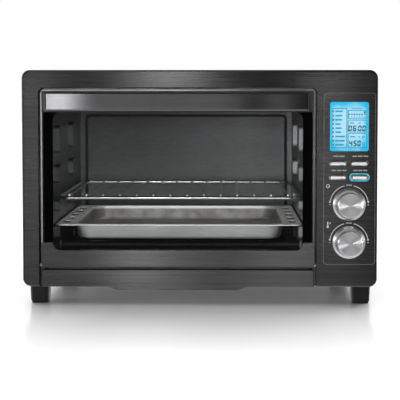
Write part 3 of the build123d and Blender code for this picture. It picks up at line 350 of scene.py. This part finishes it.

# the strip behind the handle is dark, the door's edge is a lighter copy of the brushed steel as a painted
# highlight, and each knob is turned about its own axis
DIALS = {name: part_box(name) for name in ("time_knob", "temp_knob")}
NODES["door_top_rail"].data.materials[0] = FINISHES["black_paint"]
# painted highlight: the door frame gets a lighter copy of the brushed steel so that its edge shows as a light
# line
NODES["door_frame"].data.materials[0] = brushed_metal("door_edge_highlight_steel", grey(0.12, 0.003), grey(0.19, 0.004),
                                                      smooth=0.26, rough=0.36)
for name, (low, high) in DIALS.items():
    NODES[name].data.materials[0] = knob_metal(name + "_metal", (low.x + high.x) / 2, (low.z + high.z) / 2)


# ---------------------------------------------------------------- pieces


def rounded(x0, x1, z0, z1, radius, steps=6):
    """A closed loop of (x, z) points: a rectangle with round corners."""
    loop = []
    for cx, cz, start in ((x1 - radius, z1 - radius, 0), (x0 + radius, z1 - radius, 90),
                          (x0 + radius, z0 + radius, 180), (x1 - radius, z0 + radius, 270)):
        for i in range(steps + 1):
            a = math.radians(start + 90 * i / steps)
            loop.append((cx + radius * math.cos(a), cz + radius * math.sin(a)))
    return loop


def disc(x, z, radius, steps=20):
    """A round loop."""
    return [(x + radius * math.cos(t), z + radius * math.sin(t))
            for t in (2 * math.pi * i / steps for i in range(steps))]


def arc_band(x, z, radius, width, start, end, steps=28):
    """A closed loop round a curved line of this width, from start to end degrees."""
    turns = [math.radians(start + (end - start) * i / steps) for i in range(steps + 1)]
    outer = [(x + (radius + width / 2) * math.cos(t), z + (radius + width / 2) * math.sin(t)) for t in turns]
    inner = [(x + (radius - width / 2) * math.cos(t), z + (radius - width / 2) * math.sin(t)) for t in turns]
    return outer + inner[::-1]


def bar(x0, x1, z, width):
    """A level dash."""
    return rounded(x0, x1, z - width / 2, z + width / 2, width * 0.3, 3)


def post(x, z0, z1, width):
    """An upright dash."""
    return rounded(x - width / 2, x + width / 2, z0, z1, width * 0.3, 3)


def flat_piece(name, shapes, front, back, body, material, soft=0.0, at=(0, 0)):
    """One mesh of upright plates that face the front, all in mm.

    Each shape is a list of loops of (x, z) points from the place at: an outline, then its holes. front and
    back are Y, and soft rounds the edges.
    """
    mesh = bpy.data.meshes.new(name)
    whole = bmesh.new()
    for loops in shapes:
        curve = bpy.data.curves.new(name, "CURVE")
        curve.dimensions, curve.fill_mode = "2D", "BOTH"
        curve.extrude = (back - front) / 2 * MM - soft * MM
        curve.bevel_depth, curve.bevel_resolution = soft * MM, 2
        curve.offset = -soft * MM
        for loop in loops:
            spline = curve.splines.new("POLY")
            spline.points.add(len(loop) - 1)
            for point, (x, z) in zip(spline.points, loop):
                point.co = ((at[0] + x) * MM, (at[1] + z) * MM, 0, 1)
            spline.use_cyclic_u = True
        holder = bpy.data.objects.new(name, curve)
        bpy.context.scene.collection.objects.link(holder)
        bpy.context.view_layer.update()
        made = bpy.data.meshes.new_from_object(holder.evaluated_get(bpy.context.evaluated_depsgraph_get()))
        whole.from_mesh(made)
        bpy.data.objects.remove(holder)
        bpy.data.meshes.remove(made)
    bmesh.ops.remove_doubles(whole, verts=whole.verts, dist=0.001 * MM)
    middle = (front + back) / 2 * MM
    for vertex in whole.verts:
        x, z, depth = vertex.co
        vertex.co = (x, middle - depth, z)
    bmesh.ops.recalc_face_normals(whole, faces=whole.faces)
    whole.to_mesh(mesh)
    whole.free()
    piece = bpy.data.objects.new(name, mesh)
    bpy.context.scene.collection.objects.link(piece)
    mesh.materials.append(material)
    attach(piece, body)
    return piece


def box_mm(name):
    """A node's two box corners in mm."""
    low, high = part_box(name)
    return low / MM, high / MM


# black printed border on the inside of the door glass, round a window with round corners
EDGE_BARE = 0.6
SIDE_BORDER, LOWER_BORDER, UPPER_BORDER = 13, 12, 5
WINDOW_CORNER = 10.6
glass_low, glass_high = box_mm("door_glass")
border_outline = rounded(glass_low.x + EDGE_BARE, glass_high.x - EDGE_BARE,
                         glass_low.z + EDGE_BARE, glass_high.z - EDGE_BARE, 2)
window = rounded(glass_low.x + SIDE_BORDER, glass_high.x - SIDE_BORDER,
                 glass_low.z + LOWER_BORDER, glass_high.z - UPPER_BORDER, WINDOW_CORNER, 10)
flat_piece("glass_border", [[border_outline, window]], glass_high.y - 0.45, glass_high.y - 0.25,
           "door", printed("border_ink", 0.0006, 0.0003, 0.0))

# the display's dark marks, in mm from its window's lower left corner, just in front of the backlight
lens_low, lens_high = box_mm("display_lens")
MARK_THICK = 0.25
MARKS_BACK = lens_high.y - MARK_THICK
SEGMENTS = {"0": "abcdef", "4": "bcfg", "5": "acdfg", "6": "acdefg"}
DIGIT_LEAN = 0.08


def digit(symbol, x0, x1, z0, z1, width):
    """A seven-segment digit as shapes, leaning to the right as it rises."""
    gap, mid = width * 0.35, (z0 + z1) / 2
    rows = {"a": z1 - width / 2, "g": mid, "d": z0 + width / 2}
    columns = {"f": (x0, True), "b": (x1, True), "e": (x0, False), "c": (x1, False)}
    shapes = []
    for segment in SEGMENTS[symbol]:
        if segment in rows:
            loop = bar(x0 + gap, x1 - gap, rows[segment], width)
        else:
            side, upper = columns[segment]
            low, high = (mid + gap / 2, z1 - gap) if upper else (z0 + gap, mid - gap / 2)
            loop = post(side + (width / 2 if side == x0 else -width / 2), low, high, width)
        shapes.append([[(x + (z - z0) * DIGIT_LEAN, z) for x, z in loop]])
    return shapes


def number(text, starts, wide, z0, z1, width):
    """A row of digits, each with its left side at its own start."""
    shapes = []
    for symbol, x in zip(text, starts):
        shapes += digit(symbol, x, x + wide, z0, z1, width)
    return shapes


STROKE = 1.5
CLOCK_ROW, HEAT_ROW = (26.1, 33.6), (6.3, 13.9)
strong = number("0600", (23.8, 29.6, 36.5, 42.0), 4.5, *CLOCK_ROW, STROKE)
strong += number("450", (24.8, 30.4, 35.6), 4.3, *HEAT_ROW, STROKE)
strong += [[disc(35.4, z, 0.6, 12)] for z in (28.2, 31.4)]
strong += [[disc(45.5, 51.1, 1.35, 16)]]

# a scale of seven blocks over seven ticks
SCALE = (25.1, 28.5, 31.9, 35.3, 38.8, 42.0, 45.8)
strong += [[rounded(x - 0.95, x + 0.95, 47.4, 49.2, 0.3, 2)] for x in SCALE]
faint = [[post(x, 43.9, 45.7, 0.9)] for x in SCALE]

# a list of words, each a dash with a dot before it: its height, and where the dash ends
WORDS = ((52.3, 16.2), (46.6, 16.2), (41.1, 15.7), (35.5, 13.9), (30.1, 15.2),
         (24.8, 14.4), (19.1, 19.6), (13.6, 19.4), (8.2, 18.0))
strong += [[disc(4.2, z, 1.0, 12)] for z, _ in WORDS]
faint += [[bar(6.9, end, z, 2.1)] for z, end in WORDS]

# the list's frame, and three frames beside it
faint += [[rounded(2.0, 22.6, 3.9, 56.5, 1.4, 4), rounded(3.0, 21.4, 4.9, 55.5, 1.0, 4)]]
for low, high in ((3.9, 23.5), (24.5, 41.0), (42.0, 53.8)):
    faint += [[rounded(23.2, 48.6, low, high, 1.2, 4), rounded(24.3, 47.6, low + 0.9, high - 0.9, 0.8, 4)]]

# small headings, a ring and the sign after the heat
faint += [[bar(28.1, 41.6, 56.0, 1.0)], [bar(25.8, 31.5, 36.9, 1.4)], [bar(37.0, 40.4, 36.9, 1.2)],
          [bar(26.3, 33.6, 18.8, 1.4)], [bar(37.3, 39.4, 18.8, 1.4)]]
faint += [[disc(43.7, 18.8, 1.7, 16), disc(43.7, 18.8, 0.7, 12)]]
faint += [[rounded(42.4, 45.6, 7.2, 11.4, 0.5, 3), rounded(43.2, 44.8, 8.1, 10.5, 0.3, 3)]]
for name, shapes, material in (
        ("display_marks", strong, glowing("lcd_strong", (0.0, 0.07, 0.10), (0.0, 0.11, 0.13), 4, 0.4)),
        ("display_lines", faint, glowing("lcd_faint", (0.0, 0.20, 0.28), (0.01, 0.28, 0.34), 4, 0.6))):
    flat_piece(name, shapes, MARKS_BACK - MARK_THICK, MARKS_BACK, "chassis", material,
               at=(lens_low.x, lens_low.z))

# the control plate's rim: a thin strip of lighter steel over the plate's edge, a painted highlight
RIM, RIM_CORNER = 0.75, 4.2
plate_low, plate_high = box_mm("control_panel")
rim_outer = rounded(plate_low.x, plate_high.x, plate_low.z, plate_high.z, RIM_CORNER)
rim_inner = rounded(plate_low.x + RIM, plate_high.x - RIM,
                    plate_low.z + RIM, plate_high.z - RIM, RIM_CORNER - RIM)
# painted highlight: a lighter copy of the brushed steel for the plate's edge
rim_highlight_steel = brushed_metal("rim_highlight_steel", grey(0.20, 0.005), grey(0.34, 0.005), smooth=0.34, rough=0.44)
flat_piece("panel_rim_highlight", [[rim_outer, rim_inner]], plate_low.y - 0.2, plate_low.y + 0.1,
           "chassis", rim_highlight_steel, soft=0.1)

# over each knob a curved line, open at its top for a word, with a dot, a minus and a plus at its ends
ARC_RADIUS, ARC_WIDTH, ARC_GAP = 25.2, 0.95, 14.5
DOT_UP, SIGN_DOWN = 3.4, 0.4
signs, labels, dial_height = [], [], {}
for name, (low, high) in DIALS.items():
    x, z = (low.x + high.x) / 2 / MM, (low.z + high.z) / 2 / MM
    dial_height[name] = z
    for start, end in ((172, 90 + ARC_GAP), (90 - ARC_GAP, 8)):
        signs.append([arc_band(x, z, ARC_RADIUS, ARC_WIDTH, start, end)])
    for side in (-1, 1):
        end_x = x + side * ARC_RADIUS
        signs.append([disc(end_x, z + DOT_UP, 1.35)])
        signs.append([bar(end_x - 0.95, end_x + 0.95, z - SIGN_DOWN, 0.6)])
    plus_x = x + ARC_RADIUS
    signs.append([post(plus_x, z - SIGN_DOWN - 0.9, z - SIGN_DOWN - 0.32, 0.6)])
    signs.append([post(plus_x, z - SIGN_DOWN + 0.32, z - SIGN_DOWN + 0.9, 0.6)])
    labels.append([bar(x - 4.1, x + 3.7, z + ARC_RADIUS + 0.2, 1.9)])

# a clock by the upper knob, and a thermometer with a degree ring by the lower one
sign_x = plate_low.x + 5.9
clock_z, bulb_z = dial_height["time_knob"] + 24.0, dial_height["temp_knob"] + 20.3
signs.append([disc(sign_x, clock_z, 2.5, 24), disc(sign_x, clock_z, 1.7, 24)])
signs.append([post(sign_x, clock_z, clock_z + 1.2, 0.5)])
signs.append([bar(sign_x, sign_x + 1.0, clock_z, 0.5)])
signs.append([post(sign_x, bulb_z + 1.0, bulb_z + 6.8, 1.5)])
signs.append([disc(sign_x, bulb_z, 1.6)])
signs.append([disc(sign_x + 3.0, bulb_z + 5.0, 0.95), disc(sign_x + 3.0, bulb_z + 5.0, 0.45)])

# over each button a label of short dashes: where it starts and ends from the button's middle, its height
# over the button, and its number of dashes
DASH_GAP = 1.1
LABELS = {"button_upper_left": (-6.4, 8.6, 4.7, 2), "button_upper_right": (-9.3, 11.4, 4.7, 3),
          "button_lower_left": (-8.7, 11.3, 4.4, 3), "button_lower_right": (-8.1, 10.1, 4.4, 3)}
for name, (start, end, up, dashes) in LABELS.items():
    low, high = box_mm(name)
    step = (end - start + DASH_GAP) / dashes
    for i in range(dashes):
        x = (low.x + high.x) / 2 + start + step * i
        labels.append([bar(x, x + step - DASH_GAP, high.z + up, 1.7)])

PRINT_FRONT, PRINT_BACK = plate_low.y - 0.10, plate_low.y + 0.05
flat_piece("panel_signs", signs, PRINT_FRONT, PRINT_BACK, "chassis",
           printed("white_ink", (0.80, 0.80, 0.79), (0.62, 0.62, 0.61)))
flat_piece("panel_labels", labels, PRINT_FRONT, PRINT_BACK, "chassis",
           printed("grey_ink", grey(0.42), grey(0.30)))


# ---------------------------------------------------------------- light

scene = bpy.context.scene


def aim(thing, target):
    thing.rotation_euler = (Vector(target) - thing.location).to_track_quat("-Z", "Y").to_euler()


def receivers(name, names, state="INCLUDE"):
    """Light linking: a lamp lights only these CAD nodes, or with EXCLUDE all but these."""
    group = bpy.data.collections.new(name)
    for member in names:
        group.objects.link(NODES[member])
    for entry in group.collection_objects:
        entry.light_linking.link_state = state
    return group


# clear panes take no lamp, so that none shows as a ghost in them, and some parts have lamps of their own
PANES = ("door_glass", "display_lens")
KNOBS = ("time_knob", "temp_knob")
BUTTONS = ("button_upper_left", "button_upper_right", "button_lower_left", "button_lower_right")
LINING = ("cavity_left_wall", "cavity_right_wall", "cavity_back", "cavity_top", "cavity_floor")
casing = receivers("casing", (*PANES, "door_handle", *KNOBS, *BUTTONS, *LINING), "EXCLUDE")
handle = receivers("handle", ("door_handle", "door_frame"))
rails = receivers("rails", ("door_bottom_rail", "crumb_tray_front"))
knobs = receivers("knobs", KNOBS)
buttons = receivers("buttons", BUTTONS)
pan = receivers("pan", ("baking_pan",))
rack = receivers("rack", ("rack_frame", "rack_wires"))
back_wall = receivers("back_wall", ("cavity_back",))
right_wall = receivers("right_wall", ("cavity_right_wall",))
left_wall = receivers("left_wall", ("cavity_left_wall",))


def softbox(name, lit, place, target, wide, tall, power):
    """A rectangular lamp, in metres and watts, that the camera does not see."""
    lamp = bpy.data.lights.new(name, "AREA")
    lamp.shape, lamp.size, lamp.size_y, lamp.energy = "RECTANGLE", wide, tall, power
    holder = bpy.data.objects.new(name, lamp)
    scene.collection.objects.link(holder)
    holder.location = place
    aim(holder, target)
    holder.visible_camera = False
    holder.light_linking.receiver_collection = lit


def strip(name, lit, x, z, wide, tall, power, aim_z=None):
    """A softbox behind the camera whose mirror image in the flat front is a band of light."""
    softbox(name, lit, (x, STRIPS_Y, z), (x, 0, z if aim_z is None else aim_z), wide, tall, power)


STRIPS_Y = -2.15
strip("bar_end", handle, -0.495, 0.32, 0.10, 0.60, 2.9)
strip("bar_middle", handle, -0.14, 0.36, 0.44, 0.40, 1.1, aim_z=0.32)
strip("bar_right", handle, 0.20, 0.32, 0.03, 0.60, 0.16)
strip("frame_band", casing, -0.15, 0.62, 0.18, 0.42, 5.2, aim_z=0.55)
strip("rail_left", rails, -0.255, 0.17, 0.07, 0.26, 3.2)
strip("rail_right", rails, 0.21, 0.17, 0.08, 0.26, 2.2)
strip("post_left", casing, -0.60, 0.17, 0.12, 0.30, 1.15)
strip("post_right", casing, 0.36, 0.17, 0.10, 0.30, 1.05)
softbox("side_left", casing, (-2.0, -0.5, 0.45), (0, 0, 0.15), 0.7, 0.9, 9.0)
softbox("key_top", casing, (-0.35, -0.9, 1.7), (0, 0, 0.2), 1.3, 1.0, 5.0)
softbox("knob_right", knobs, (1.5, -1.5, 0.06), (0.2, -0.15, 0.1), 0.5, 0.25, 18.0)
softbox("knob_left", knobs, (-1.3, -1.5, 0.22), (0.2, -0.15, 0.1), 0.5, 0.35, 15.0)
softbox("knob_front", knobs, (0.2, -2.2, 0.5), (0.2, -0.15, 0.1), 1.6, 1.0, 3.6)
softbox("button_low", buttons, (0.20, -0.9, 0.03), (0.20, -0.15, 0.19), 0.6, 0.05, 1.5)
softbox("pan_front", pan, (-0.05, -1.3, 0.30), (-0.03, 0, 0.10), 0.8, 0.5, 11.0)
softbox("pan_above", pan, (-0.03, 0.04, 0.27), (-0.03, 0.03, 0.0), 0.30, 0.15, 0.30)
softbox("rack_front", rack, (-0.05, -1.3, 0.30), (-0.03, 0, 0.10), 0.8, 0.5, 2.6)
softbox("back_wall", back_wall, (0.40, -2.15, 0.36), (0.10, 0.15, 0.2), 0.45, 0.35, 3.2)
softbox("right_wall", right_wall, (-0.6, -1.2, 0.25), (0.14, 0, 0.2), 0.3, 0.4, 19.0)
softbox("left_wall", left_wall, (0.4, -1.2, 0.25), (-0.19, 0, 0.2), 0.3, 0.4, 2.0)

# a very wide soft light from above and behind, for the floor's shadow
overhead = bpy.data.lights.new("overhead", "SUN")
overhead.energy, overhead.angle = 5.0, math.radians(80)
overhead_holder = bpy.data.objects.new("overhead", overhead)
scene.collection.objects.link(overhead_holder)
overhead_holder.visible_glossy = False
overhead_holder.rotation_euler = (math.radians(-30), math.radians(4), 0)

# The camera sees a white backdrop. Every other ray sees a room, dark in front, that grows brighter along
# these parts of the ray's direction: the axis, where the rise starts and ends, and the light at both.
ROOM_RISES = (("Y", 0.05, 0.5, 0.07, 0.9), ("Z", -0.25, -0.75, 0.0, 1.3),
              ("X", -0.6, -0.95, 0.0, 0.6), ("X", 0.75, 0.95, 0.0, 0.25))
world = bpy.data.worlds.new("studio")
world.use_nodes = True
scene.world = world
scene.view_settings.view_transform = "Standard"
nodes, links = world.node_tree.nodes, world.node_tree.links
nodes.clear()
direction = nodes.new("ShaderNodeSeparateXYZ")
links.new(nodes.new("ShaderNodeTexCoord").outputs["Generated"], direction.inputs[0])
room_light = None
for axis, start, end, low, high in ROOM_RISES:
    rise = nodes.new("ShaderNodeMapRange")
    for socket, value in (("From Min", start), ("From Max", end), ("To Min", low), ("To Max", high)):
        rise.inputs[socket].default_value = value
    links.new(direction.outputs[axis], rise.inputs["Value"])
    if room_light is None:
        room_light = rise.outputs[0]
    else:
        both = nodes.new("ShaderNodeMath")
        links.new(room_light, both.inputs[0])
        links.new(rise.outputs[0], both.inputs[1])
        room_light = both.outputs[0]
room, backdrop = nodes.new("ShaderNodeBackground"), nodes.new("ShaderNodeBackground")
for background in (room, backdrop):
    background.inputs["Color"].default_value = (1, 1, 1, 1)
backdrop.inputs["Strength"].default_value = 1.0
links.new(room_light, room.inputs["Strength"])
seen = nodes.new("ShaderNodeMixShader")
links.new(nodes.new("ShaderNodeLightPath").outputs["Is Camera Ray"], seen.inputs[0])
links.new(room.outputs[0], seen.inputs[1])
links.new(backdrop.outputs[0], seen.inputs[2])
links.new(seen.outputs[0], nodes.new("ShaderNodeOutputWorld").inputs["Surface"])


# ---------------------------------------------------------------- floor and camera

FLOOR_HALF = 8
floor_mesh = bpy.data.meshes.new("floor")
grid = bmesh.new()
bmesh.ops.create_grid(grid, x_segments=8, y_segments=8, size=FLOOR_HALF)
grid.to_mesh(floor_mesh)
grid.free()
floor = bpy.data.objects.new("floor", floor_mesh)
scene.collection.objects.link(floor)
floor_finish = Finish("floor_gloss", Roughness=0.16, IOR=2.0)
floor_finish.set(Base_Color=floor_finish.ramp(floor_finish.noise(900, 2), (0.3, 0.90), (0.7, 0.94)))
floor_mesh.materials.append(floor_finish.material)
floor.visible_glossy = False

# a long lens, looking slightly down and to the left
TILT, PAN = 2.58, 0.69
camera_data = bpy.data.cameras.new("camera")
camera_data.lens, camera_data.sensor_width = 95.69, 36
camera_data.shift_x, camera_data.shift_y = -0.03, -0.155
camera_data.dof.use_dof = False
camera = bpy.data.objects.new("camera", camera_data)
scene.collection.objects.link(camera)
camera.location = (0.0334, -1.5525, 0.286)
camera.rotation_euler = (math.radians(90 - TILT), 0, math.radians(PAN))
scene.camera = camera
